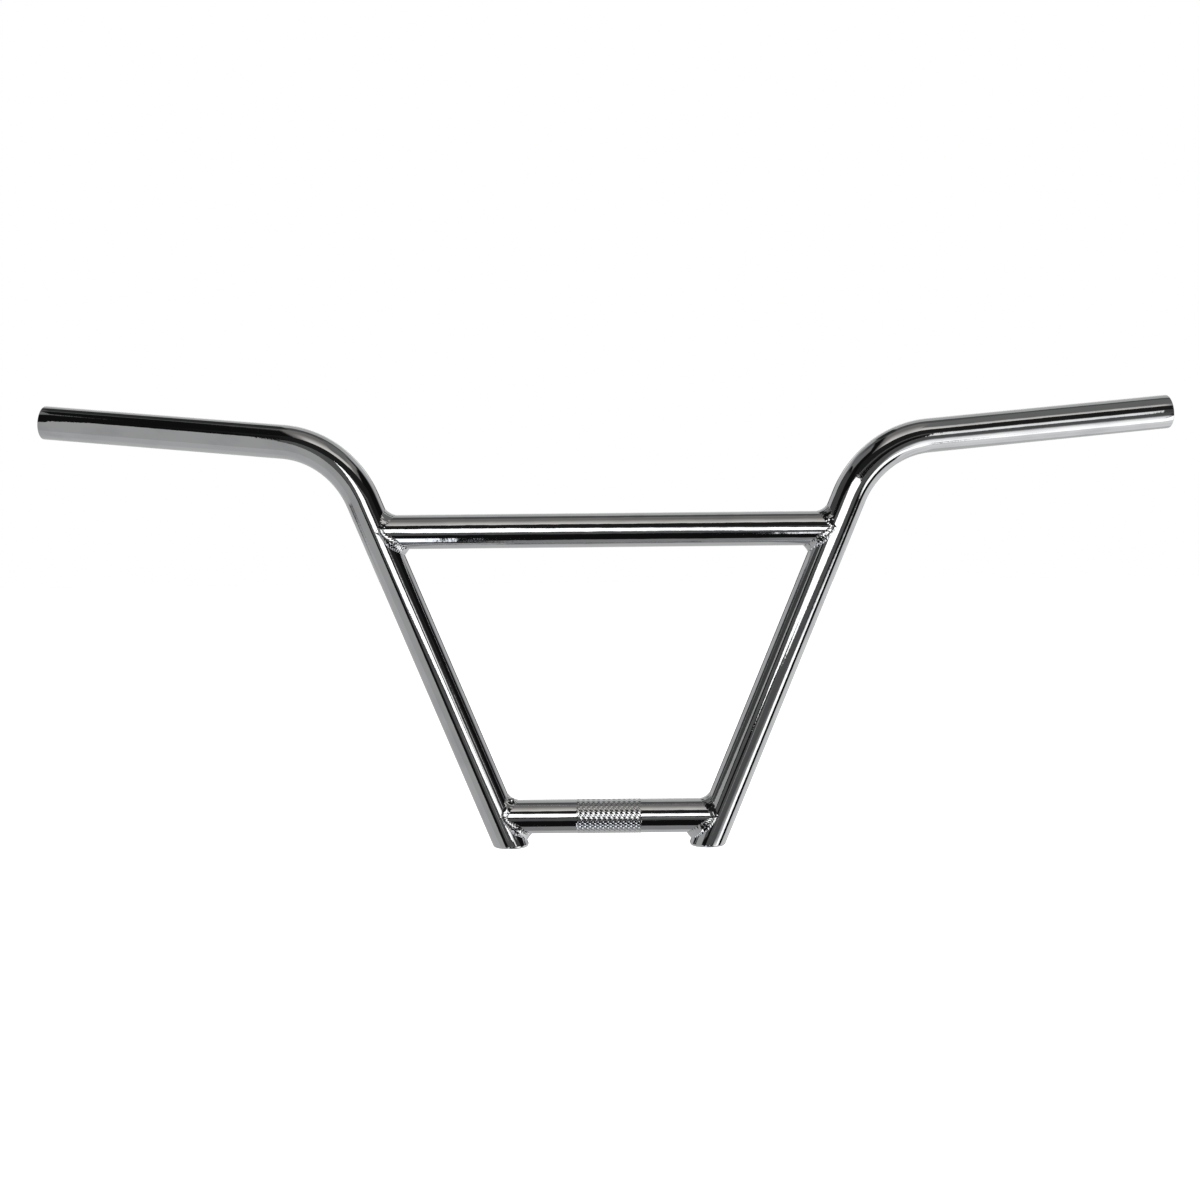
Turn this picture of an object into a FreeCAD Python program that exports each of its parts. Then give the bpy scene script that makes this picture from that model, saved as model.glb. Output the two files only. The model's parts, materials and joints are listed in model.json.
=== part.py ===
import FreeCAD, Part
import math
import os

Vector = FreeCAD.Vector
os.makedirs("parts", exist_ok=True)

# Handlebar of four round steel tubes: two bent legs, a crossbar and a clamp tube, welded together.
# The origin is the middle of the clamp tube, Z is up, and Y points back to the rider.
# Left and right are as seen from the front. Sizes are in millimetres, angles in degrees.
TUBE_DIAMETER = 22.2
TUBE_WALL = 1.25
BAR_WIDTH = 750.0  # between the middles of the two grip ends
BAR_RISE = 262.0  # from the clamp axis up to the middles of the grip ends
LEG_SPACING = 144.4  # between the legs' axes, on the clamp axis
LEG_LEAN = 22.4  # of each leg, outwards from upright
CROSSBAR_HEIGHT = 188.0  # of its axis above the clamp axis
BACKSWEEP = 11.5
UPSWEEP = 4.95
BEND_RADIUS = 63.0  # on the tube's axis
LEG_TAIL = 20.0  # from the clamp axis down to the legs' feet
FOOT_WALL = 2.5
FOOT_ROUNDING = 2.2
END_ROUNDING = 0.4
KNURL_LENGTH = 42.6
KNURL_HEIGHT = 0.2
BEAD_RADIUS = 2.6
BEAD_SINK = 1.9  # of the bead's middle below the tubes' front and back
BEAD_FILL_ABOVE = -0.6  # of the bead's middle out of the wide corner, above a level tube; negative is inside
BEAD_FILL_BELOW = 0.6  # of the bead's middle out of the narrow corner, below a level tube
BEAD_STOP_SWELL = 0.2  # where a pass starts and stops

OUTER_RADIUS = TUBE_DIAMETER / 2
BORE_RADIUS = OUTER_RADIUS - TUBE_WALL
KNURL_RADIUS = OUTER_RADIUS + KNURL_HEIGHT
LEAN = math.radians(LEG_LEAN)
SIDES = {"left": -1, "right": 1}
FRONT = Vector(0, -1, 0)
UP = Vector(0, 0, 1)
SAME_PLANE = 1e-6


def half_span(height):
    """Distance from the middle of the bar to a leg's axis, at a height above the clamp axis."""
    return LEG_SPACING / 2 + height * math.tan(LEAN)


def leg_direction(side):
    """Unit vector up a leg, which leans outwards in the plane of the crossbar."""
    return Vector(side * math.sin(LEAN), 0, math.cos(LEAN))


def grip_direction(side):
    """Unit vector out along a grip, which is swept back and up."""
    back = math.radians(BACKSWEEP)
    up = math.radians(UPSWEEP)
    level = math.cos(up)
    return Vector(side * math.cos(back) * level, math.sin(back) * level, math.sin(up))


def grip_run():
    """Length along a grip's axis from its corner with the leg's axis to the grip's end."""
    outward = grip_direction(1)
    return (BAR_WIDTH / 2 - half_span(BAR_RISE)) / (outward.x - outward.z * math.tan(LEAN))


def bend_corner(side):
    """Point where a grip's axis and its leg's axis would cross, which the bend rounds off."""
    height = BAR_RISE - grip_direction(side).z * grip_run()
    return Vector(side * half_span(height), 0, height)


def bend_tangent():
    """Length from the corner to each end of the bend."""
    return BEND_RADIUS * math.tan(leg_direction(1).getAngle(grip_direction(1)) / 2)


def grip_end(side):
    """Middle of a grip's open end."""
    return bend_corner(side) + grip_direction(side) * grip_run()


def disc(centre, normal, radius):
    """Flat round face, the section of a bar."""
    return Part.Face(Part.Wire(Part.makeCircle(radius, centre, normal)))


def bent_bar(side, radius, foot_height):
    """Solid round bar along one leg's centre line: level foot, upright, bend and grip."""
    up_leg = leg_direction(side)
    along_grip = grip_direction(side)
    turn = math.degrees(up_leg.getAngle(along_grip))
    bend_start = bend_corner(side) - up_leg * bend_tangent()
    bend_axis = up_leg.cross(along_grip).normalize()
    bend_centre = bend_start + bend_axis.cross(up_leg) * BEND_RADIUS
    foot = Vector(side * half_span(foot_height), 0, foot_height)
    spare = up_leg * TUBE_DIAMETER

    upright = disc(foot - spare, up_leg, radius).extrude(bend_start - foot + spare)
    bend = disc(bend_start, up_leg, radius).revolve(bend_centre, bend_axis, turn)
    grip = disc(grip_end(side), along_grip, radius).extrude(along_grip * (bend_tangent() - grip_run()))
    below_foot = disc(foot, UP, TUBE_DIAMETER).extrude(spare * -2)
    return upright.multiFuse([bend, grip]).removeSplitter().cut(below_foot)


def rim(bar, point, normal):
    """Edges of a bar that lie in the plane through a point."""
    found = []
    for edge in bar.Edges:
        middle = edge.valueAt((edge.FirstParameter + edge.LastParameter) / 2)
        points = [vertex.Point for vertex in edge.Vertexes] + [middle]
        if max(abs((place - point).dot(normal)) for place in points) < SAME_PLANE:
            found.append(edge)
    return found


def leg(side):
    """Bent tube: foot closed and rounded, grip end open with its rim dressed."""
    tube = bent_bar(side, OUTER_RADIUS, -LEG_TAIL)
    tube = tube.makeFillet(FOOT_ROUNDING, rim(tube, UP * -LEG_TAIL, UP))
    tube = tube.makeFillet(END_ROUNDING, rim(tube, grip_end(side), grip_direction(side)))
    return tube.cut(bent_bar(side, BORE_RADIUS, FOOT_WALL - LEG_TAIL))


def level_bar(height, radius, length):
    """Solid round bar along X, centred on the middle of the handlebar."""
    return Part.makeCylinder(radius, length, Vector(-length / 2, 0, height), Vector(1, 0, 0))


def mitred_tube(stock, height, leg_bars):
    """Level tube between the legs, its ends cut to the legs' round walls."""
    bore = level_bar(height, BORE_RADIUS, 2 * half_span(height))
    return stock.cut(bore).cut(leg_bars)


def weld_bead(side, height, tubes):
    """Bead round one joint, outside both tubes: a round pass along each of the two flat half
    ellipses where the tubes' walls cross, swollen where the passes start and stop."""
    centre = Vector(side * half_span(height), 0, height)
    inward = Vector(-side, 0, 0)
    up_leg = leg_direction(side)
    depth = OUTER_RADIUS - BEAD_SINK
    passes = []
    for along_leg, fill in ((up_leg, BEAD_FILL_ABOVE), (up_leg * -1, BEAD_FILL_BELOW)):
        corner = (inward + along_leg).normalize()
        reach = OUTER_RADIUS / math.sin(corner.getAngle(inward)) + fill
        ellipse = Part.Ellipse(centre + corner * reach, centre + FRONT * depth, centre)
        path = Part.ArcOfEllipse(ellipse, -math.pi / 2, math.pi / 2).toShape()
        start = path.valueAt(path.FirstParameter)
        heading = path.tangentAt(path.FirstParameter)
        passes.append(Part.Wire(path).makePipe(disc(start, heading, BEAD_RADIUS)))
    for face in (FRONT, FRONT * -1):
        passes.append(Part.makeSphere(BEAD_RADIUS + BEAD_STOP_SWELL, centre + face * depth))
    return passes[0].multiFuse(passes[1:]).cut(tubes)


leg_bars = {name: bent_bar(side, OUTER_RADIUS, -LEG_TAIL) for name, side in SIDES.items()}
level_bars = {
    "crossbar": level_bar(CROSSBAR_HEIGHT, OUTER_RADIUS, 2 * half_span(CROSSBAR_HEIGHT)),
    "clamp": level_bar(0, OUTER_RADIUS, 2 * half_span(0)),
}
heights = {"crossbar": CROSSBAR_HEIGHT, "clamp": 0}
knurled_bar = level_bars["clamp"].fuse(level_bar(0, KNURL_RADIUS, KNURL_LENGTH))

pieces = {
    "crossbar": mitred_tube(level_bars["crossbar"], CROSSBAR_HEIGHT, list(leg_bars.values())),
    "clamp_tube": mitred_tube(knurled_bar, 0, list(leg_bars.values())),
}
for name, side in SIDES.items():
    pieces[name + "_leg"] = leg(side)
    for tube, height in heights.items():
        pieces["weld_" + tube + "_" + name] = weld_bead(side, height, [leg_bars[name], level_bars[tube]])

for node, shape in pieces.items():
    shape.exportStep("parts/" + node + ".step")
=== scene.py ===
import bpy
import json
import math
import numpy as np
from mathutils import Matrix, Vector


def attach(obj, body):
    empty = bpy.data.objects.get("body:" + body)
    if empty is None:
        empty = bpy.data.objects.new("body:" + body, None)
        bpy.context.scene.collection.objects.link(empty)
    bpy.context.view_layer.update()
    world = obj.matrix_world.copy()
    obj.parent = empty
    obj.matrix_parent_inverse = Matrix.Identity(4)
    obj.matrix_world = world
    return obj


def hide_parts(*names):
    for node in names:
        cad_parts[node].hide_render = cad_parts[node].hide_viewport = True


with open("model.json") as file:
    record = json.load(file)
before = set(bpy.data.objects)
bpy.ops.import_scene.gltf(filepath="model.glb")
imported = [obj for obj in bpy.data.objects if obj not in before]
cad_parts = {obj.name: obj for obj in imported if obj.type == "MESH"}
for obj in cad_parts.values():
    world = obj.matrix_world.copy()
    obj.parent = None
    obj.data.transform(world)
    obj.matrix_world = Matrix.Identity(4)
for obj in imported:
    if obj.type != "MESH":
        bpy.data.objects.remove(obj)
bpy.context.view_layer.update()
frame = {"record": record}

# Legs: two steel tubes, each one length from its foot to its open grip end, bent cold round a former.
# The foot is closed and rounded, and reaches a little below the clamp tube. The welded bar is polished
# and chromed as one, so all the tubes share one plating over their own faint polishing marks.
mounts = {mount["name"]: mount for mount in frame["record"]["mounts"]}
TUBE_RADIUS = mounts["grip_left"]["dims"]["r_mm"] / 1000
BORE_RADIUS = mounts["bar_end_left"]["dims"]["r_mm"] / 1000
GRIP_LENGTH = mounts["bar_end_left"]["dims"]["length_mm"] / 1000
LEG_SPACING = 0.1444
LEG_LEAN = math.radians(22.4)
BEND_RADIUS = 0.063
FOOT_BELOW = 0.020
FOOT_WALL = 0.0025
FOOT_ROUNDING = 0.0022
RIM_ROUNDING = 0.0004
SIDES = {"left": -1, "right": 1}
LEG_COLUMNS = 128
FOOT_SHARES = (0, 0.5, 0.97)  # of the way from the foot's middle to its rounded corner
CORNER_ROWS = 12
UPRIGHT_START = 0.02  # share of the upright, clear of the rounded corner
UPRIGHT_ROWS = 24
BEND_ROWS = 73
GRIP_ROWS = 24
RIM_ROWS = 8
RIM_FACE_ROWS = 6
BORE_LIP = (0.0001, 0.001)  # close rows behind the grip's end, which keep the bore's edge crisp
BORE_START = 0.004
BORE_ROWS = 16
BORE_BEND_ROWS = 41


def half_span(height):
    """Half the legs' spacing at a height: half the spacing on the clamp axis, plus the height times
    the tangent of the lean."""
    return LEG_SPACING / 2 + height * math.tan(LEG_LEAN)


class LegLine:
    """Centre line of one leg: straight up from the clamp axis, a round bend, then straight to the grip
    end. The bend's axle is square to both straights, so one turning frame serves the whole length."""

    def __init__(self, name, side):
        self.out = np.array(mounts["bar_end_" + name]["axis"])
        self.up = np.array([side * math.sin(LEG_LEAN), 0, math.cos(LEG_LEAN)])
        self.axle = np.cross(self.up, self.out)
        self.axle /= np.linalg.norm(self.axle)
        self.toward = np.cross(self.axle, self.up)
        self.turn = math.acos(self.up @ self.out)
        self.start = np.array([side * half_span(0), 0, 0])
        tangent = BEND_RADIUS * math.tan(self.turn / 2)
        grip_middle = np.array(mounts["bar_end_" + name]["pos_m"])
        corner = grip_middle - self.out * (GRIP_LENGTH / 2 + tangent)
        self.upright = np.linalg.norm(corner - self.start) - tangent
        self.bent = self.upright + BEND_RADIUS * self.turn
        self.length = self.bent + GRIP_LENGTH

    def wall(self, along, angle, radius):
        """Point of a round wall: the centre line at a distance along it, plus the radius turned by an
        angle in the section. The centre line is the upright as far as it goes, then the bend's radius
        times the sine and one minus the cosine of the turn so far, then what is left along the grip."""
        along, angle, radius = (value[..., None] for value in np.broadcast_arrays(along, angle, radius))
        turned = np.clip((along - self.upright) / BEND_RADIUS, 0, self.turn)
        centre = self.start + self.up * np.minimum(along, self.upright)
        centre = centre + BEND_RADIUS * (np.sin(turned) * self.up + (1 - np.cos(turned)) * self.toward)
        centre = centre + self.out * np.maximum(along - self.bent, 0)
        across = np.cos(turned) * self.toward - np.sin(turned) * self.up
        return centre + radius * (np.cos(angle) * across + np.sin(angle) * self.axle)

    def foot(self, angle, radius, height):
        """Distance along the centre line where the upright's wall meets a level plane at a height: the
        height, less the rise of the wall's own offset, over the rise of the centre line."""
        side_rise = np.cos(angle) * self.toward[2] + np.sin(angle) * self.axle[2]
        return (height - radius * side_rise) / self.up[2]


def skin(name, points, straight, ring):
    """Mesh over a grid of points. Columns close round the piece. Rows close too in a ring; otherwise the
    first and last rows are one point each, with a fan of triangles. The straight coordinates, where
    each point would lie on an unbent tube, stay as an attribute for the polishing marks."""
    rows, columns = points.shape[:2]
    index = np.arange(rows * columns).reshape(rows, columns)
    faces = []
    if ring:
        index = np.vstack([index, index[:1]])
        places, marks = points.reshape(-1, 3), straight.reshape(-1, 3)
    else:
        places = np.vstack([points[0, :1], points[1:-1].reshape(-1, 3), points[-1, :1]])
        marks = np.vstack([straight[0, :1], straight[1:-1].reshape(-1, 3), straight[-1, :1]])
        index = index[1:-1] - columns + 1
        first, last = np.zeros(columns, int), np.full(columns, len(places) - 1)
        faces += np.stack([first, np.roll(index[0], -1), index[0]], axis=1).tolist()
        faces += np.stack([last, index[-1], np.roll(index[-1], -1)], axis=1).tolist()
    lower, upper = index[:-1], index[1:]
    quads = np.stack([lower, np.roll(lower, -1, 1), np.roll(upper, -1, 1), upper], axis=-1)
    faces += quads.reshape(-1, 4).tolist()
    mesh = bpy.data.meshes.new(name)
    mesh.from_pydata(places.tolist(), [], faces)
    mesh.attributes.new("straight", "FLOAT_VECTOR", "POINT").data.foreach_set("vector", marks.ravel())
    mesh.shade_smooth()
    piece = bpy.data.objects.new(name, mesh)
    bpy.context.collection.objects.link(piece)
    return piece


def leg_skin(name, side):
    """Whole skin of a leg, in rows from the middle of the foot: the flat foot, its rounded corner as a
    circular arc between the foot and the wall, the wall, the dressed rim, and the bore back down."""
    line = LegLine(name, side)
    angle = np.linspace(0, 2 * np.pi, LEG_COLUMNS, endpoint=False)[None, :]
    one = np.ones_like(angle)

    edge = line.foot(angle, TUBE_RADIUS, -FOOT_BELOW)
    corner = line.wall(edge, angle, TUBE_RADIUS)
    middle = line.wall(-FOOT_BELOW / line.up[2], 0, 0)
    inward = middle - corner
    inward /= np.linalg.norm(inward, axis=-1, keepdims=True)
    half_angle = np.arccos((inward * line.up).sum(axis=-1, keepdims=True)) / 2
    reach = FOOT_ROUNDING / np.tan(half_angle)
    low, high = corner + inward * reach, corner + line.up * reach
    flat = middle + (low - middle) * np.array(FOOT_SHARES)[:, None, None]
    step = np.linspace(0, 1, CORNER_ROWS)[:, None, None]
    weights = (1 - step) ** 2, 2 * step * (1 - step) * np.sin(half_angle), step**2
    rounding = (weights[0] * low + weights[1] * corner + weights[2] * high) / sum(weights)
    foot = np.vstack([flat, rounding])
    from_start = foot - line.start
    foot_marks = np.stack([(from_start * way).sum(-1) for way in (line.up, line.toward, line.axle)], -1)

    top = edge + reach[..., 0]
    upright = top + (line.upright - top) * np.linspace(UPRIGHT_START, 1, UPRIGHT_ROWS)[:, None]
    bend = np.linspace(line.upright, line.bent, BEND_ROWS)[1:, None] * one
    grip = np.linspace(line.bent, line.length - RIM_ROUNDING, GRIP_ROWS)[1:, None] * one
    outside = np.vstack([upright, bend, grip])
    sweep = np.linspace(0, np.pi / 2, RIM_ROWS)[1:, None]
    rim = line.length - RIM_ROUNDING * (1 - np.sin(sweep)) * one
    rim_radius = TUBE_RADIUS - RIM_ROUNDING * (1 - np.cos(sweep)) * one
    face_radius = np.linspace(TUBE_RADIUS - RIM_ROUNDING, BORE_RADIUS, RIM_FACE_ROWS)[1:, None] * one
    face = line.length * np.ones_like(face_radius)
    floor = line.foot(angle, BORE_RADIUS, FOOT_WALL - FOOT_BELOW)
    inner_lip = line.length - np.array(BORE_LIP)[:, None] * one
    inner_grip = np.linspace(line.length - BORE_START, line.bent, BORE_ROWS)[:, None] * one
    inner_bend = np.linspace(line.bent, line.upright, BORE_BEND_ROWS)[1:, None] * one
    inner_upright = line.upright + (floor - line.upright) * np.linspace(0, 1, BORE_ROWS)[1:, None]
    inside = np.vstack([inner_lip, inner_grip, inner_bend, inner_upright])
    along = np.vstack([outside, rim, face, inside, floor])
    radius = np.vstack(
        [outside * 0 + TUBE_RADIUS, rim_radius, face_radius, inside * 0 + BORE_RADIUS, floor * 0]
    )
    along[-1] = (FOOT_WALL - FOOT_BELOW) / line.up[2]
    walls = line.wall(along, angle, radius)
    marks = np.stack([along, radius * np.cos(angle), radius * np.sin(angle)], axis=-1)
    return skin(name + "_leg_tube", np.vstack([foot, walls]), np.vstack([foot_marks, marks]), ring=False)


def wire(tree, source, target):
    """Link from a node's named output to a node's named input."""
    tree.links.new(source[0].outputs[source[1]], target[0].inputs[target[1]])


def node(tree, kind, **settings):
    """New shader node with its own settings."""
    made = tree.nodes.new("ShaderNode" + kind)
    for key, value in settings.items():
        setattr(made, key, value)
    return made


def new_group(name, inputs, outputs):
    """Empty shader node group with named sockets."""
    tree = bpy.data.node_groups.new(name, "ShaderNodeTree")
    for way, sockets in (("INPUT", inputs), ("OUTPUT", outputs)):
        for label, kind in sockets.items():
            tree.interface.new_socket(label, in_out=way, socket_type="NodeSocket" + kind)
    return tree, tree.nodes.new("NodeGroupInput"), tree.nodes.new("NodeGroupOutput")


MIX_UNDER, MIX_OVER, MIX_RESULT = 6, 7, 2  # the colour sockets of a Mix node, which share their names


def mix_colours(tree, share, under, over, result):
    """Colour over another one by a share from 0 to 1, wired from the given sockets into the result."""
    mix = node(tree, "Mix", data_type="RGBA")
    wire(tree, share, (mix, "Factor"))
    wire(tree, under, (mix, MIX_UNDER))
    wire(tree, over, (mix, MIX_OVER))
    wire(tree, (mix, MIX_RESULT), result)


def scaled_noise(tree, place, scale, detail):
    """Noise on coordinates that are stretched by a scale along and round the tube."""
    stretch = node(tree, "VectorMath", operation="MULTIPLY")
    stretch.inputs[1].default_value = scale
    wire(tree, (place, "Straight"), (stretch, 0))
    noise = node(tree, "TexNoise")
    noise.inputs["Scale"].default_value = 1.0
    noise.inputs["Detail"].default_value = detail
    wire(tree, (stretch, "Vector"), (noise, "Vector"))
    return noise


# Noise scales are per metre, along the tube and on the two ways across it.
MARK_SCALES = {"Waves": (75, 200, 200), "Lines": (16, 1500, 1500), "Peel": (600, 600, 600)}
MARK_DETAIL = 1.5
HAZE_SCALE = (40, 75, 75)
HAZE_DETAIL = 3.0
HAZE_START = 0.42
HAZE_FULL = 0.78
CLEAR_CHROME = (0.57, 0.575, 0.58, 1.0)
DULL_CHROME = (0.50, 0.505, 0.515, 1.0)


def polishing_marks():
    """Group: height of the metal under the plating, as slow waves left by drawing and polishing, fine
    lines along the tube, and a close orange peel, each times its own depth."""
    sockets = {"Straight": "Vector"} | {label: "Float" for label in MARK_SCALES}
    tree, place, out = new_group("polishing_marks", sockets, {"Height": "Float"})
    total = None
    for label, scale in MARK_SCALES.items():
        noise = scaled_noise(tree, place, scale, MARK_DETAIL)
        depth = node(tree, "Math", operation="MULTIPLY_ADD")
        wire(tree, (noise, "Fac"), (depth, 0))
        wire(tree, (place, label), (depth, 1))
        depth.inputs[2].default_value = 0.0
        if total:
            wire(tree, (total, 0), (depth, 2))
        total = depth
    wire(tree, (total, 0), (out, "Height"))
    return tree


def plating_haze():
    """Group: roughness and colour of the plating, clear for the most part, with soft dull patches
    where the chrome is a little rougher and darker. A patch starts and is full at two noise values."""
    inputs = {"Straight": "Vector", "Polish": "Float", "Haze": "Float", "Clear": "Color", "Dull": "Color"}
    tree, place, out = new_group("plating_haze", inputs, {"Color": "Color", "Roughness": "Float"})
    patches = scaled_noise(tree, place, HAZE_SCALE, HAZE_DETAIL)
    spread = node(tree, "MapRange", interpolation_type="SMOOTHSTEP")
    spread.inputs["From Min"].default_value = HAZE_START
    spread.inputs["From Max"].default_value = HAZE_FULL
    wire(tree, (patches, "Fac"), (spread, "Value"))
    rough = node(tree, "Math", operation="MULTIPLY_ADD")
    wire(tree, (spread, "Result"), (rough, 0))
    wire(tree, (place, "Haze"), (rough, 1))
    wire(tree, (place, "Polish"), (rough, 2))
    wire(tree, (rough, 0), (out, "Roughness"))
    mix_colours(tree, (spread, "Result"), (place, "Clear"), (place, "Dull"), (out, "Color"))
    return tree


MARKS = polishing_marks()
HAZE = plating_haze()


def chrome(name, polish, haze, waves, lines, peel):
    """Chrome plate: a metal whose colour and roughness come from the haze group, and whose normal comes
    from the polishing marks. Depths are in metres, and polish and haze are roughness."""
    material = bpy.data.materials.new(name)
    material.use_nodes = True
    tree = material.node_tree
    metal = tree.nodes["Principled BSDF"]
    metal.inputs["Metallic"].default_value = 1.0
    place = node(tree, "Attribute", attribute_name="straight")
    plate = node(tree, "Group", node_tree=HAZE)
    plate.inputs["Polish"].default_value = polish
    plate.inputs["Haze"].default_value = haze
    plate.inputs["Clear"].default_value = CLEAR_CHROME
    plate.inputs["Dull"].default_value = DULL_CHROME
    ground = node(tree, "Group", node_tree=MARKS)
    ground.inputs["Waves"].default_value = waves
    ground.inputs["Lines"].default_value = lines
    ground.inputs["Peel"].default_value = peel
    bump = node(tree, "Bump")
    bump.inputs["Distance"].default_value = 1.0
    wire(tree, (place, "Vector"), (plate, "Straight"))
    wire(tree, (place, "Vector"), (ground, "Straight"))
    wire(tree, (ground, "Height"), (bump, "Height"))
    wire(tree, (bump, "Normal"), (metal, "Normal"))
    wire(tree, (plate, "Color"), (metal, "Base Color"))
    wire(tree, (plate, "Roughness"), (metal, "Roughness"))
    return material


def place_piece(piece, cad_node, material):
    """Dresses a piece and lets it stand for its solid on the bar's one body."""
    piece.data.materials.append(material)
    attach(piece, "root")
    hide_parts(cad_node)


leg_chrome = chrome("leg_chrome", polish=0.03, haze=0.05, waves=4e-5, lines=2e-6, peel=1.2e-5)
for name, side in SIDES.items():
    place_piece(leg_skin(name, side), name + "_leg", leg_chrome)

# Crossbar: a straight steel tube between the legs. Each end is cut to the leg's round wall so that it
# seats all round before it is welded. Under its plating are the deepest waves of the four tubes.
CROSSBAR_HEIGHT = 0.188
CROSSBAR_COLUMNS = 128
CROSSBAR_ROWS = 41
CROSSBAR_MIDDLE = 0.98  # share of the half length that is evenly divided
CROSSBAR_LIP = 0.998  # share of the half length where a close row keeps the end's edge crisp
BORE_SHARES = (1, 0.997, 0.9, 0.5, 0, -0.5, -0.9, -0.997, -1)  # of the half length, for rows of the bore


def tube_end(height, angle, radius):
    """Half length of a level tube at a point of its section. The leg's wall there satisfies: the offset
    across the leg squared plus the depth squared is the radius squared."""
    depth, rise = radius * np.cos(angle), radius * np.sin(angle)
    across = np.sqrt(np.maximum(TUBE_RADIUS**2 - depth**2, 0))
    return half_span(height) + rise * math.tan(LEG_LEAN) - across / math.cos(LEG_LEAN)


def level_skin(name, height, outside, outside_radius, angle):
    """Skin of a level tube: the outside from end to end, then the bore back, as one closed ring. The
    angle starts at the front and turns upwards, and the columns go the other way, to face outwards."""
    bore = np.array(BORE_SHARES)[:, None] * tube_end(height, angle, BORE_RADIUS)
    along = np.vstack([outside, bore])
    radius = np.vstack([outside_radius, bore * 0 + BORE_RADIUS])
    depth, rise = -radius * np.cos(angle), radius * np.sin(angle)
    straight = np.stack([along, depth, rise], axis=-1)[:, ::-1]
    return skin(name, straight + np.array([0, 0, height]), straight, ring=True)


angle = np.linspace(0, 2 * np.pi, CROSSBAR_COLUMNS, endpoint=False)[None, :]
middle = np.linspace(-CROSSBAR_MIDDLE, CROSSBAR_MIDDLE, CROSSBAR_ROWS)
share = np.hstack([-1, -CROSSBAR_LIP, middle, CROSSBAR_LIP, 1])[:, None]
outside = share * tube_end(CROSSBAR_HEIGHT, angle, TUBE_RADIUS)
crossbar = level_skin("crossbar_tube", CROSSBAR_HEIGHT, outside, outside * 0 + TUBE_RADIUS, angle)
crossbar_chrome = chrome("crossbar_chrome", polish=0.03, haze=0.05, waves=8e-5, lines=3e-6, peel=9e-6)
place_piece(crossbar, "crossbar", crossbar_chrome)

# Clamp tube: a short straight steel tube low between the legs, cut and welded like the crossbar. Two
# crossing sets of grooves are rolled into its middle, and the diamonds that they leave bite into the
# stem. It is plated with the rest.
KNURL_RADIUS = mounts["stem_clamp"]["dims"]["r_mm"] / 1000
KNURL_LENGTH = mounts["stem_clamp"]["dims"]["length_mm"] / 1000
KNURL_DEPTH = 0.00019
KNURL_PITCH = 0.00335
KNURL_STARTS = 24
KNURL_FADE = 0.0007
KNURL_ROWS = 170
CLAMP_COLUMNS = 384
PLAIN_SHARES = (1, 0.995, 0.9, 0.7, 0.5, 0.3, 0.1, 0.01)  # of the way from the band to the tube's end


def knurl(along, angle):
    """Radius of the knurled band. Each set of grooves is a saw wave of the distance along the tube in
    pitches, plus or minus the turn in starts. The lower of the two gives the diamonds."""
    turns = KNURL_STARTS * angle / (2 * np.pi)
    heights = []
    for way in (1, -1):
        phase = along / KNURL_PITCH + way * turns
        heights.append(2 * np.abs(phase - np.round(phase)))
    grown = KNURL_RADIUS - KNURL_DEPTH * (1 - np.minimum(*heights))
    fade = np.clip((KNURL_LENGTH / 2 - np.abs(along)) / KNURL_FADE, 0, 1)
    return TUBE_RADIUS + (grown - TUBE_RADIUS) * fade


angle = np.linspace(0, 2 * np.pi, CLAMP_COLUMNS, endpoint=False)[None, :]
end = tube_end(0, angle, TUBE_RADIUS)
plain = KNURL_LENGTH / 2 + (end - KNURL_LENGTH / 2) * np.array(PLAIN_SHARES)[:, None]
band = np.linspace(-KNURL_LENGTH / 2, KNURL_LENGTH / 2, KNURL_ROWS)[:, None] + 0 * angle
outside = np.vstack([-plain, band, plain[::-1]])
outside_radius = np.vstack([plain * 0 + TUBE_RADIUS, knurl(band, angle), plain * 0 + TUBE_RADIUS])
clamp_tube = level_skin("clamp_tube_knurled", 0, outside, outside_radius, angle)
clamp_chrome = chrome("clamp_chrome", polish=0.04, haze=0.06, waves=6e-5, lines=3e-6, peel=6e-6)
place_piece(clamp_tube, "clamp_tube", clamp_chrome)

# Weld beads: filler laid round each joint by hand in two passes. In the wide corner above a level tube
# it is drawn out to a hollow fillet, and in the narrow corner below it stands full, in stacked ripples.
# Lumps are left where a pass was stopped or filled up. The beads are plated with the rest.
LEG_REACH = {"above": 0.0047, "beside": 0.0014, "below": 0.0038}  # from the seam over the leg
TUBE_REACH = {"above": 0.0047, "beside": 0.0026, "below": 0.0038}  # from the seam over the level tube
FILLET_LIFT = {"above": 0.0010, "beside": 0.0010, "below": 0.0034}
RIPPLE_DEPTH = {"above": 0.00005, "beside": 0.00010, "below": 0.00020}
PASS_START = 0.42
RIPPLE_PITCH = 0.0019
RIPPLE_CURL = 0.7
RIPPLE_STEP = 0.35
RIPPLE_SCALLOP = 0.05
UNEVEN = {"pitch": (0.35, 9), "reach": (0.10, 8), "lift": (0.10, 7), "depth": (0.4, 12)}  # share, waves
APEX_ROUNDING = 0.30
BED_DEPTH = 0.0003
BEAD_ROWS = 720
FACE_COLUMNS = 26
LUMP_SHARE = 0.24
# Each lump has its turn round the joint from the top to the front, its breadth in turn, and its height.
BEAD_LUMPS = {
    "weld_bead_crossbar_left": [(1.35, 0.12, 0.0001)],
    "weld_bead_crossbar_right": [(1.4, 0.12, 0.0001), (0.95, 0.10, 0.0005)],
    "weld_bead_clamp_left": [(0.38, 0.16, 0.0025), (0.95, 0.12, 0.0006)],
    "weld_bead_clamp_right": [(1.45, 0.22, 0.0003), (2.2, 0.12, 0.0002)],
}
bead_chance = np.random.default_rng(5)


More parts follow.
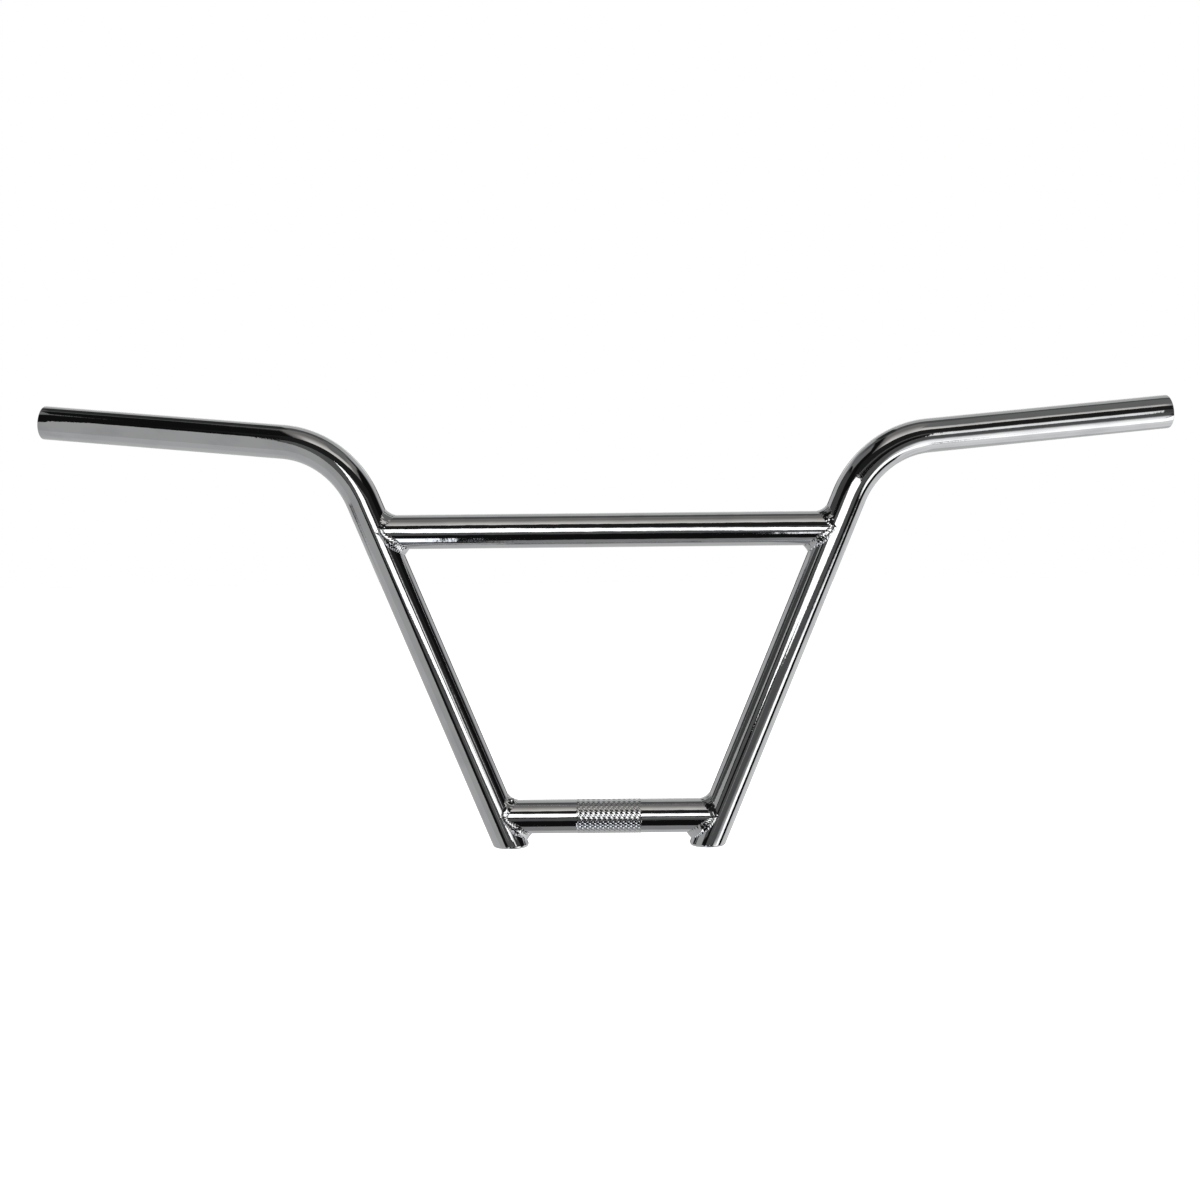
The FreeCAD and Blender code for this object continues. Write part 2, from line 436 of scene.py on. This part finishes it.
def uneven(turn, what):
    """Smooth random change round a joint: a few sines of whole numbers of waves, with random strength
    and phase, scaled to stay within about its share."""
    share, waves = UNEVEN[what]
    strength = bead_chance.normal(size=(waves, 1, 1)) / math.sqrt(waves)
    phase = bead_chance.uniform(0, 2 * np.pi, size=(waves, 1, 1))
    count = np.arange(1, waves + 1)[:, None, None]
    return share * (strength * np.sin(count * turn + phase)).sum(axis=0)


def round_joint(turn, amounts):
    """Amount that changes round a joint: the one above times the squared cosine while that is upward,
    the one below times one minus a bell curve of the cosine while it is downward, so that the lower
    pass is soon full, and the one beside for the rest."""
    upward = np.maximum(np.cos(turn), 0) ** 2
    downward = 1 - np.exp(-((np.minimum(np.cos(turn), 0) / PASS_START) ** 2))
    rest = 1 - upward - downward
    return amounts["above"] * upward + amounts["beside"] * rest + amounts["below"] * downward


def seam(turn, centre, side, up_leg):
    """Line where the walls of a leg and a level tube cross: half an ellipse from the front, over the
    wide corner to the back, and half an ellipse under the narrow corner. Each half's cosine is rounded
    off where the halves meet."""
    inward = np.array([-side, 0, 0])
    line = centre + np.array([0, -1, 0]) * TUBE_RADIUS * np.sin(turn)
    for way in (1, -1):
        corner = inward + way * up_leg
        corner = corner / np.linalg.norm(corner)
        reach = TUBE_RADIUS / np.linalg.norm(np.cross(corner, inward))
        share = (way * np.cos(turn) + np.sqrt(np.cos(turn) ** 2 + APEX_ROUNDING**2)) / 2
        line = line + corner * reach * share
    return line


def toe(line, ahead, centre, axis, turn_way, reach):
    """Edge of the bead on a tube: from the seam, a distance over the tube's wall square to the seam,
    part along the tube's axis and part as a turn round it. Gives the edge and the wall's normal at the
    seam."""
    along = ((line - centre) * axis).sum(axis=-1, keepdims=True)
    normal = line - centre - along * axis
    normal /= np.linalg.norm(normal, axis=-1, keepdims=True)
    way = turn_way * np.cross(normal, ahead)
    way /= np.linalg.norm(way, axis=-1, keepdims=True)
    sideways = np.cross(axis, normal)
    turned = reach * (way * sideways).sum(axis=-1, keepdims=True) / TUBE_RADIUS
    along = along + reach * (way * axis).sum(axis=-1, keepdims=True)
    edge = centre + along * axis + TUBE_RADIUS * (np.cos(turned) * normal + np.sin(turned) * sideways)
    return edge, normal


def bead_skin(name, side, height):
    """Bead round a joint: across it, a quadratic curve from its edge on the leg, drawn towards the seam
    lifted off both walls, to its edge on the level tube, and back under the walls. Ripples step up and
    run down along the bead like a saw wave, curled back at the edges, with uneven pitch and depth. A
    lump is a bell curve of the turn times a bell curve of the share across."""
    centre = np.array([side * half_span(height), 0, height])
    up_leg = np.array([side * math.sin(LEG_LEAN), 0, math.cos(LEG_LEAN)])
    turn = np.linspace(0, 2 * np.pi, BEAD_ROWS, endpoint=False)[:, None]
    line = seam(turn, centre, side, up_leg)
    ahead = np.roll(line, -1, 0) - np.roll(line, 1, 0)
    ahead /= np.linalg.norm(ahead, axis=-1, keepdims=True)
    step = np.linalg.norm(np.roll(line, -1, 0) - line, axis=-1, keepdims=True)
    run = np.cumsum(step, axis=0) - step
    laid = np.round(step.sum() / RIPPLE_PITCH) * run / step.sum() + uneven(turn, "pitch")
    scallop = 1 + RIPPLE_SCALLOP * np.cos(2 * np.pi * laid) + uneven(turn, "reach")
    lift = round_joint(turn, FILLET_LIFT) * (1 + uneven(turn, "lift"))
    leg_reach, tube_reach = (scallop * round_joint(turn, reach) for reach in (LEG_REACH, TUBE_REACH))
    on_leg, leg_normal = toe(line, ahead, centre, up_leg, side, leg_reach)
    on_tube, tube_normal = toe(line, ahead, centre, np.array([1.0, 0, 0]), -side, tube_reach)
    outward = leg_normal + tube_normal
    outward /= np.linalg.norm(outward, axis=-1, keepdims=True)

    across = np.linspace(0, 1, FACE_COLUMNS)[None, :]
    phase = laid - RIPPLE_CURL * (2 * across - 1) ** 2
    fall = phase - np.floor(phase)
    ripple = (1 - fall) * np.minimum(fall / RIPPLE_STEP, 1) - 0.5
    depth = round_joint(turn, RIPPLE_DEPTH) * (1 + uneven(turn, "depth"))
    raised = depth * ripple * 4 * across * (1 - across)
    for place, breadth, dome in BEAD_LUMPS[name]:
        away = np.angle(np.exp(1j * (turn - place))) / breadth
        raised = raised + dome * np.exp(-(away**2) - ((across - 0.5) / LUMP_SHARE) ** 2)
    bump = raised[..., None] * outward[:, None]
    top = (line + lift * outward)[:, None]
    weights = (1 - across) ** 2, 2 * across * (1 - across), across**2
    leg_weight, top_weight, tube_weight = (weight[..., None] for weight in weights)
    face = leg_weight * on_leg[:, None] + top_weight * top + tube_weight * on_tube[:, None] + bump
    bed = zip((on_tube, line, on_leg), (tube_normal, outward, leg_normal))
    under = np.stack([edge - BED_DEPTH * normal for edge, normal in bed], axis=1)
    points = np.concatenate([face, under], axis=1)
    straight = points - centre
    return skin(name, points[:, ::side], straight[:, ::side], ring=True)


weld_chrome = chrome("weld_chrome", polish=0.05, haze=0.08, waves=2e-5, lines=0.0, peel=1.2e-5)
for joint, height in {"crossbar": CROSSBAR_HEIGHT, "clamp": 0.0}.items():
    for name, side in SIDES.items():
        bead = bead_skin("weld_bead_" + joint + "_" + name, side, height)
        place_piece(bead, "weld_" + joint + "_" + name, weld_chrome)

# Studio: the bar hangs clear of a white paper floor in a dark room. A softbox stands in front with a
# card to its left, and the rest of what the chrome mirrors is painted round the room: a pale sweep, a
# low softbox to the right, a ceiling, and a dark doorway under a strip light straight behind.
FLOOR_BELOW = 0.22
FLOOR_HALF = 6.0
FLOOR_COLOUR = (0.85, 0.85, 0.85, 1.0)
FLOOR_LIFT = 0.9  # glow for the camera alone, which brings the paper up to white
floor_mesh = bpy.data.meshes.new("studio_floor")
square = [(-1, -1), (1, -1), (1, 1), (-1, 1)]
floor_corners = [(FLOOR_HALF * x, FLOOR_HALF * y, -FLOOR_BELOW) for x, y in square]
floor_mesh.from_pydata(floor_corners, [], [(0, 1, 2, 3)])
floor = bpy.data.objects.new("studio_floor", floor_mesh)
bpy.context.collection.objects.link(floor)
floor.visible_glossy = False  # the chrome mirrors the painted room in its place

paper = bpy.data.materials.new("white_paper")
paper.use_nodes = True
tree = paper.node_tree
tree.nodes.clear()
matte = node(tree, "BsdfDiffuse")
matte.inputs["Color"].default_value = FLOOR_COLOUR
glow = node(tree, "Emission")
rays = node(tree, "LightPath")
lift = node(tree, "Math", operation="MULTIPLY")
lift.inputs[1].default_value = FLOOR_LIFT
both = node(tree, "AddShader")
surface = node(tree, "OutputMaterial")
wire(tree, (rays, "Is Camera Ray"), (lift, 0))
wire(tree, (lift, 0), (glow, "Strength"))
wire(tree, (matte, 0), (both, 0))
wire(tree, (glow, 0), (both, 1))
wire(tree, (both, 0), (surface, "Surface"))
floor_mesh.materials.append(paper)

OVERHEAD_SIZE = 3.0
OVERHEAD_POWER = 30.0
OVERHEAD_HEIGHT = 2.2
overhead = bpy.data.lights.new("overhead_softbox", "AREA")
overhead.shape = "RECTANGLE"
overhead.size = OVERHEAD_SIZE
overhead.size_y = OVERHEAD_SIZE
overhead.energy = OVERHEAD_POWER
overhead_lamp = bpy.data.objects.new("overhead_softbox", overhead)
overhead_lamp.location = (0, 0, OVERHEAD_HEIGHT)
overhead_lamp.visible_glossy = False
overhead_lamp.visible_camera = False
bpy.context.collection.objects.link(overhead_lamp)

# Each panel has its distance in front of the bar, its strength, and its corners, sideways and up.
PANELS = {
    "front_softbox": (1.2, 2.2, [
        (-0.21, 0.06), (-0.12, 0.09), (0.12, 0.09), (0.18, 0.0), (0.30, -0.03),
        (0.60, 0.0), (0.66, 0.09), (-0.17, 0.645), (-0.31, 0.64), (-0.31, 0.25),
    ]),
    "softbox_spill": (1.25, 0.13, [
        (-0.95, 0.1), (-0.46, 0.0), (-0.38, 0.15), (-0.38, 0.62), (-0.95, 0.62),
    ]),
    "left_card": (0.6, 0.5, [
        (-3.0, -0.9), (-0.43, -0.9), (-0.43, 0.05), (-0.56, 0.22), (-0.60, 0.5),
        (-0.80, 0.6), (-0.88, 0.36), (-1.3, 0.39), (-3.0, 0.72),
    ]),
}


def studio_panel(name, distance, strength, corners):
    """Flat upright glowing panel that only the chrome sees."""
    mesh = bpy.data.meshes.new(name)
    mesh.from_pydata([(x, -distance, z) for x, z in corners], [], [list(range(len(corners)))])
    panel = bpy.data.objects.new(name, mesh)
    bpy.context.collection.objects.link(panel)
    panel.visible_camera = False
    panel.visible_diffuse = False
    panel.visible_shadow = False
    cloth = bpy.data.materials.new(name)
    cloth.use_nodes = True
    tree = cloth.node_tree
    tree.nodes.clear()
    glow = node(tree, "Emission")
    glow.inputs["Strength"].default_value = strength
    surface = node(tree, "OutputMaterial")
    wire(tree, (glow, 0), (surface, "Surface"))
    mesh.materials.append(cloth)


for label, (distance, strength, corners) in PANELS.items():
    studio_panel(label, distance, strength, corners)


def studio_patch():
    """Group: paints a soft-edged rectangle over what lies under it, on a plane of two angles. Each
    edge fades over its own share of the half size."""
    vectors = {label: "Vector" for label in ("Look", "Middle", "Half", "Edge")}
    inputs = {"Under": "Color"} | vectors | {"Color": "Color"}
    tree, place, out = new_group("studio_patch", inputs, {"Color": "Color"})
    local = node(tree, "Mapping", vector_type="TEXTURE")
    wire(tree, (place, "Look"), (local, "Vector"))
    wire(tree, (place, "Middle"), (local, "Location"))
    wire(tree, (place, "Half"), (local, "Scale"))
    size = node(tree, "VectorMath", operation="ABSOLUTE")
    wire(tree, (local, "Vector"), (size, 0))
    offset = node(tree, "SeparateXYZ")
    wire(tree, (size, 0), (offset, 0))
    full = node(tree, "VectorMath", operation="SUBTRACT")
    full.inputs[0].default_value = (1, 1, 1)
    wire(tree, (place, "Edge"), (full, 1))
    fade_start = node(tree, "SeparateXYZ")
    wire(tree, (full, 0), (fade_start, 0))
    inside = node(tree, "Math", operation="MULTIPLY")
    for socket, axis in enumerate("XY"):
        ramp = node(tree, "MapRange", interpolation_type="SMOOTHSTEP")
        ramp.inputs["From Max"].default_value = 1.0
        ramp.inputs["To Min"].default_value = 1.0
        ramp.inputs["To Max"].default_value = 0.0
        wire(tree, (offset, axis), (ramp, "Value"))
        wire(tree, (fade_start, axis), (ramp, "From Min"))
        wire(tree, (ramp, "Result"), (inside, socket))
    mix_colours(tree, (inside, 0), (place, "Under"), (place, "Color"), (out, "Color"))
    return tree


def angle_plane(tree, turned, tilted, sockets):
    """Vector of two angles in degrees: an arc tangent of two components of the direction, and an arc
    sine of the third. The sockets say which of X and Y each angle goes to."""
    plane = node(tree, "CombineXYZ")
    arc_tangent = node(tree, "Math", operation="ARCTAN2")
    wire(tree, turned[0], (arc_tangent, 0))
    wire(tree, turned[1], (arc_tangent, 1))
    arc_sine = node(tree, "Math", operation="ARCSINE")
    wire(tree, tilted, (arc_sine, 0))
    for part, socket in zip((arc_tangent, arc_sine), sockets):
        degrees = node(tree, "Math", operation="DEGREES")
        wire(tree, (part, 0), (degrees, 0))
        wire(tree, (degrees, 0), (plane, socket))
    return plane


PATCH = studio_patch()
room = bpy.data.worlds.new("studio_room")
bpy.context.scene.world = room
room.use_nodes = True
tree = room.node_tree
tree.nodes.clear()
look = node(tree, "TexCoord")
split = node(tree, "SeparateXYZ")
wire(tree, (look, "Generated"), (split, 0))
ahead = node(tree, "Math", operation="MULTIPLY")
ahead.inputs[1].default_value = -1.0
wire(tree, (split, "Y"), (ahead, 0))
round_and_up = angle_plane(tree, ((split, "X"), (ahead, 0)), (split, "Z"), "XY")
aside_and_over = angle_plane(tree, ((split, "Z"), (ahead, 0)), (split, "X"), "YX")

ROOM_DARK = (0.008, 0.008, 0.0085, 1.0)
# Each patch has its plane of angles, its middle and half size in degrees, its soft edges and its colour.
PATCHES = {
    "sweep_back_left": (round_and_up, (-150, 0), (42, 95), (0.12, 0.1), (0.60, 0.60, 0.605)),
    "sweep_high_left": (round_and_up, (-140, 65), (42, 32), (0.3, 0.3), (0.22, 0.22, 0.225)),
    "sweep_back_right": (round_and_up, (160, 0), (54, 95), (0.36, 0.1), (0.62, 0.62, 0.625)),
    "sweep_low_right": (round_and_up, (150, -52), (60, 44), (0.10, 0.12), (0.88, 0.88, 0.885)),
    "floor_right": (round_and_up, (78, -70), (22, 27), (0.2, 0.1), (1.05, 1.05, 1.055)),
    "floor_left": (round_and_up, (-80, -62), (50, 42), (0.1, 0.06), (0.58, 0.58, 0.585)),
    "floor_behind": (aside_and_over, (0, -146), (35, 42), (0.4, 0.06), (0.64, 0.64, 0.64)),
    "sweep_top": (aside_and_over, (0, 150), (35, 33), (0.4, 0.1), (0.60, 0.60, 0.60)),
    "floor_beside": (aside_and_over, (27, -110), (7, 22), (0.3, 0.25), (0.95, 0.95, 0.955)),
    "floor_near": (aside_and_over, (8, -84), (12, 21), (0.15, 0.1), (0.33, 0.33, 0.335)),
    "doorway_left": (round_and_up, (-168, 2), (16, 11), (0.15, 0.2), (0.05, 0.05, 0.05)),
    "doorway_right": (round_and_up, (168, 2), (16, 11), (0.15, 0.2), (0.05, 0.05, 0.05)),
    "strip_light_left": (round_and_up, (-168, 20), (16, 5), (0.15, 0.25), (1.2, 1.2, 1.2)),
    "strip_light_right": (round_and_up, (168, 20), (16, 5), (0.15, 0.25), (1.2, 1.2, 1.2)),
    "front_dim": (round_and_up, (16, -12), (31, 11), (0.1, 0.2), (0.12, 0.12, 0.122)),
    "front_line": (round_and_up, (1, -7.2), (1.6, 2.6), (0.5, 0.5), (0.42, 0.42, 0.42)),
    "high_left": (aside_and_over, (-36, 86), (11, 22), (0.12, 0.25), (0.24, 0.24, 0.24)),
    "left_dim": (round_and_up, (-82, 24), (24, 18), (0.2, 0.3), (0.08, 0.08, 0.08)),
    "right_dim": (round_and_up, (48, 12), (18, 18), (0.3, 0.3), (0.08, 0.08, 0.08)),
    "overhead_dim": (aside_and_over, (0, 106), (40, 12), (0.3, 0.2), (0.12, 0.12, 0.12)),
    "over_left": (aside_and_over, (-15, 113), (7, 17), (0.3, 0.3), (0.04, 0.04, 0.04)),
    "ceiling": (aside_and_over, (14, 69), (32, 28), (0.15, 0.15), (0.25, 0.24, 0.23)),
    "ceiling_front": (aside_and_over, (12, 44), (26, 36), (0.4, 1.0), (0.98, 0.95, 0.91)),
    "ceiling_right": (aside_and_over, (24, 82), (11, 24), (0.3, 0.2), (0.20, 0.20, 0.20)),
    "ceiling_gap": (aside_and_over, (15, 32), (45, 14.5), (0.1, 0.12), (0.02, 0.02, 0.02)),
    "gap_right": (aside_and_over, (40, 38), (15, 10.5), (0.15, 0.1), (0.02, 0.02, 0.02)),
    "right_line": (round_and_up, (53, 11.5), (1.5, 3), (0.5, 0.5), (0.9, 0.9, 0.9)),
    "right_softbox": (round_and_up, (60.5, -37), (10.5, 18), (0.2, 0.2), (2.0, 2.0, 2.0)),
    "right_reflector": (round_and_up, (40, -33), (11, 15), (0.3, 0.9), (1.3, 1.3, 1.3)),
    "right_corner": (round_and_up, (47.5, -41), (6.5, 6.5), (0.3, 0.3), (1.7, 1.7, 1.7)),
    "right_panel": (round_and_up, (34.2, 5), (3.5, 8), (0.15, 0.35), (1.3, 1.3, 1.3)),
    "low_left_lamp": (aside_and_over, (-9.2, -58), (5.3, 16), (0.17, 0.25), (1.8, 1.87, 2.0)),
    "low_right_lamp": (aside_and_over, (7.6, -29), (3.2, 6.5), (0.3, 0.3), (1.6, 1.6, 1.65)),
}
painted = None
for label, (plane, middle, half, edge, colour) in PATCHES.items():
    patch = node(tree, "Group", node_tree=PATCH, label=label)
    patch.inputs["Middle"].default_value = (*middle, 0)
    patch.inputs["Half"].default_value = (*half, 1)
    patch.inputs["Edge"].default_value = (*edge, 0)
    patch.inputs["Color"].default_value = (*colour, 1.0)
    wire(tree, (plane, "Vector"), (patch, "Look"))
    patch.inputs["Under"].default_value = ROOM_DARK
    if painted:
        wire(tree, (painted, "Color"), (patch, "Under"))
    painted = patch

studio = node(tree, "Background")
wire(tree, (painted, "Color"), (studio, "Color"))
white = node(tree, "Background")
white.inputs["Color"].default_value = (1.0, 1.0, 1.0, 1.0)
rays = node(tree, "LightPath")
seen = node(tree, "MixShader")
wire(tree, (rays, "Is Camera Ray"), (seen, 0))
wire(tree, (studio, 0), (seen, 1))
wire(tree, (white, 0), (seen, 2))
sky = node(tree, "OutputWorld")
wire(tree, (seen, 0), (sky, "Surface"))

# Camera: in front of the bar and a little above its middle, looking almost square at it, with a
# fraction of a degree of turn and roll.
CAMERA_DISTANCE = 1.400
CAMERA_ELEVATION = math.radians(4.0)
CAMERA_YAW = math.radians(0.226)
CAMERA_ROLL = math.radians(-0.575)
CAMERA_TARGET = Vector((-0.00451, 0, 0.14238))
CAMERA_LENS = 64.30
SENSOR_WIDTH = 36.0
camera_data = bpy.data.cameras.new("camera")
camera_data.lens = CAMERA_LENS
camera_data.sensor_width = SENSOR_WIDTH
camera = bpy.data.objects.new("camera", camera_data)
bpy.context.collection.objects.link(camera)
back = Vector((0, -math.cos(CAMERA_ELEVATION), math.sin(CAMERA_ELEVATION))) * CAMERA_DISTANCE
back.rotate(Matrix.Rotation(CAMERA_YAW, 3, "Z"))
camera.location = CAMERA_TARGET + back
aim = (-back).to_track_quat("-Z", "Y").to_matrix() @ Matrix.Rotation(CAMERA_ROLL, 3, "Z")
camera.rotation_euler = aim.to_euler()
bpy.context.scene.camera = camera
bpy.context.scene.view_settings.view_transform = "Standard"
